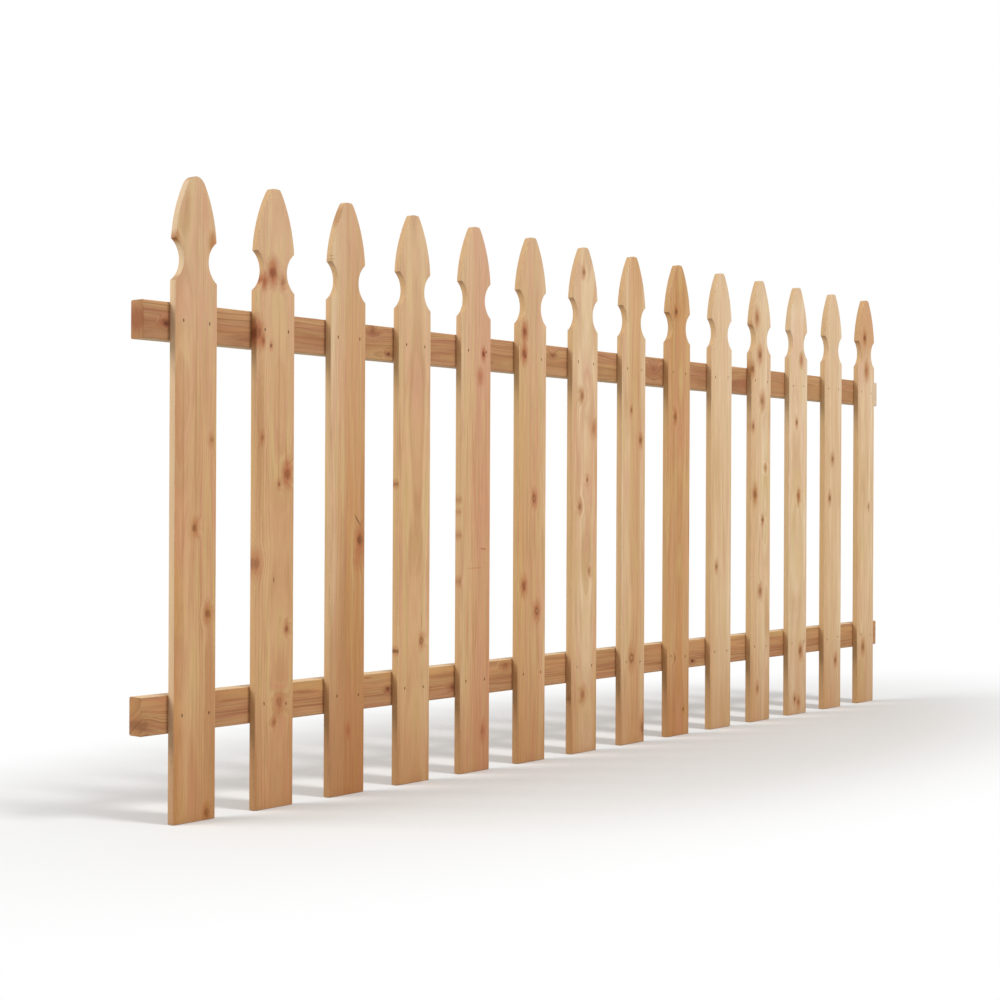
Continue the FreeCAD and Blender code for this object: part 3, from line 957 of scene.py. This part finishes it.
for trunk, (node, wood) in enumerate(PICKET_WOOD.items(), start=1):
    low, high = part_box(node)
    middle = ((low.x + high.x) / 2, low.y, low.z)
    place = (middle[0], (low.y + high.y) / 2, low.z)
    wood = PICKET_SHADES | wood
    wood["marks"] += FOOT_CORNER_STREAKS
    cedar = sawn_cedar(f"sawn_cedar_{node}", trunk, middle, False, PICKET_SIZE["Width"], wood)
    picket = stand(f"cedar_{node}", bpy.data.meshes.new(node))
    sizes = PICKET_SIZE | WORN_TIPS.get(node, {})
    values = {size: value * MM for size, value in sizes.items()}
    grow(picket, picket_maker, values | {"Place": place, "Seed": float(trunk), "Material": cedar})
    eased = picket.modifiers.new("eased_edges", "BEVEL")
    eased.limit_method, eased.angle_limit = "ANGLE", math.radians(EASED_ANGLE)
    eased.width, eased.segments, eased.profile = PICKET_EDGE * MM, EASED_STEPS, EASED_PROFILE
    cut = picket.modifiers.new("slots", "BOOLEAN")
    cut.operation, cut.solver, cut.object = "DIFFERENCE", "EXACT", slots
    settle(picket, cedar)
    smooth(picket.data, PICKET_SHARP)
    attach(picket, "root")
    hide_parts(node)
bpy.data.objects.remove(slots)


# The studio: a plain pale floor that fades to white a little way from the panel, soft white
# light all round, a soft box high behind to the left and a smaller, higher key in front.
floor_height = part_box(PICKET_NODES[0])[0].z
panel_middle = (cad_box[0] + cad_box[1]) / 2
FLOOR_REACH = 40.0
# How far in front of the panel's middle, in metres, the floor starts to fade and is white, and
# how much slower the fade goes along the panel.
FADE = (0.4, 0.95)
FADE_SHAPE = (0.42, 1.0, 0.0)
PAPER_SEEN, PAPER_BOUNCE, WHITE = "E6E6E5", "C8C7C4", "FFFFFF"


def seen_straight(tree):
    """1 for the rays that show the background: from the camera, off metal and through glass."""
    way = add(tree, "ShaderNodeLightPath").node.outputs
    seen = (way["Is Camera Ray"], way["Is Glossy Ray"])
    seen = add(tree, "ShaderNodeMath", seen, operation="MAXIMUM")
    seen = (seen, way["Is Transmission Ray"])
    return add(tree, "ShaderNodeMath", seen, operation="MAXIMUM")


# Pale paper: matt, its own grey where light bounces off it, and white far from the panel.
corners = ((-1, -1), (1, -1), (1, 1), (-1, 1))
corners = [(x * FLOOR_REACH, y * FLOOR_REACH, floor_height) for x, y in corners]
floor_mesh = bpy.data.meshes.new("floor")
floor_mesh.from_pydata(corners, [], [(0, 1, 2, 3)])
floor = stand("floor", floor_mesh)
paper = bpy.data.materials.new("pale_paper")
tree = blank(paper)
spot = add(tree, "ShaderNodeTexCoord", out="Object")
spot = add(tree, "ShaderNodeVectorMath", (spot, panel_middle), operation="SUBTRACT")
spot = add(tree, "ShaderNodeVectorMath", (spot, FADE_SHAPE), operation="MULTIPLY")
away = add(tree, "ShaderNodeVectorMath", (spot,), "Value", operation="LENGTH")
fade = add(tree, "ShaderNodeMapRange", (away, *FADE, 0.0, 1.0), interpolation_type="SMOOTHSTEP")
white = add(tree, "ShaderNodeEmission", (WHITE, 1.0))
near = add(tree, "ShaderNodeBsdfDiffuse", (PAPER_SEEN,))
bounce = add(tree, "ShaderNodeBsdfDiffuse", (PAPER_BOUNCE,))
shown = add(tree, "ShaderNodeMixShader", (fade, near, white))
shown = add(tree, "ShaderNodeMixShader", (seen_straight(tree), bounce, shown))
add(tree, "ShaderNodeOutputMaterial", (shown,))
floor_mesh.materials.append(paper)

# How bright the white room lights the panel, beside the pure white that shows behind it.
ROOM_LEVEL = 0.42
world = bpy.data.worlds.new("white_room")
bpy.context.scene.world = world
tree = blank(world)
room = add(tree, "ShaderNodeBackground", (WHITE, ROOM_LEVEL))
backdrop = add(tree, "ShaderNodeBackground", (WHITE, 1.0))
shown = add(tree, "ShaderNodeMixShader", (seen_straight(tree), room, backdrop))
add(tree, "ShaderNodeOutputWorld", (shown,))


def soft_box(name, azimuth, elevation, distance, size, level):
    """A square lamp that looks at the panel's middle; azimuth is counted from the panel's front
    towards its right end, and level 1 shows a white card that faces the lamp as just white."""
    lamp_data = bpy.data.lights.new(name, "AREA")
    lamp_data.shape, lamp_data.size = "SQUARE", size
    lamp_data.energy = level * (math.pi * distance) ** 2
    turn, rise = math.radians(azimuth), math.radians(elevation)
    aim = Vector((math.sin(turn) * math.cos(rise), -math.cos(turn) * math.cos(rise), math.sin(rise)))
    lamp = stand(name, lamp_data)
    lamp.location = panel_middle + aim * distance
    lamp.rotation_euler = aim.to_track_quat("Z", "Y").to_euler()
    lamp.visible_camera = False


soft_box("key", azimuth=10, elevation=35, distance=12.0, size=3.0, level=0.65)
soft_box("back_left", azimuth=240, elevation=30, distance=12.0, size=7.0, level=0.66)

# The camera stands off the panel's left end, level with its middle, as in the photograph.
CAMERA_PLACE = (-1.705543, -2.24101, 0.352615)
CAMERA_YAW, CAMERA_ROLL = 49.25908, 0.25962
CAMERA_LENS = 60.8493
CAMERA_CLIP = (0.05, 200.0)
camera_data = bpy.data.cameras.new("camera")
camera_data.lens = CAMERA_LENS
camera_data.clip_start, camera_data.clip_end = CAMERA_CLIP
camera = stand("camera", camera_data)
yaw, roll = math.radians(CAMERA_YAW), math.radians(CAMERA_ROLL)
ahead = Vector((math.sin(yaw), math.cos(yaw), 0.0))
level = Vector((math.cos(yaw), -math.sin(yaw), 0.0))
right = level * math.cos(roll) + Vector((0.0, 0.0, 1.0)) * math.sin(roll)
above = right.cross(ahead)
turned = Matrix((right, above, -ahead)).transposed().to_4x4()
camera.matrix_world = Matrix.Translation(CAMERA_PLACE) @ turned
bpy.context.scene.camera = camera
bpy.context.scene.view_settings.view_transform = "Standard"
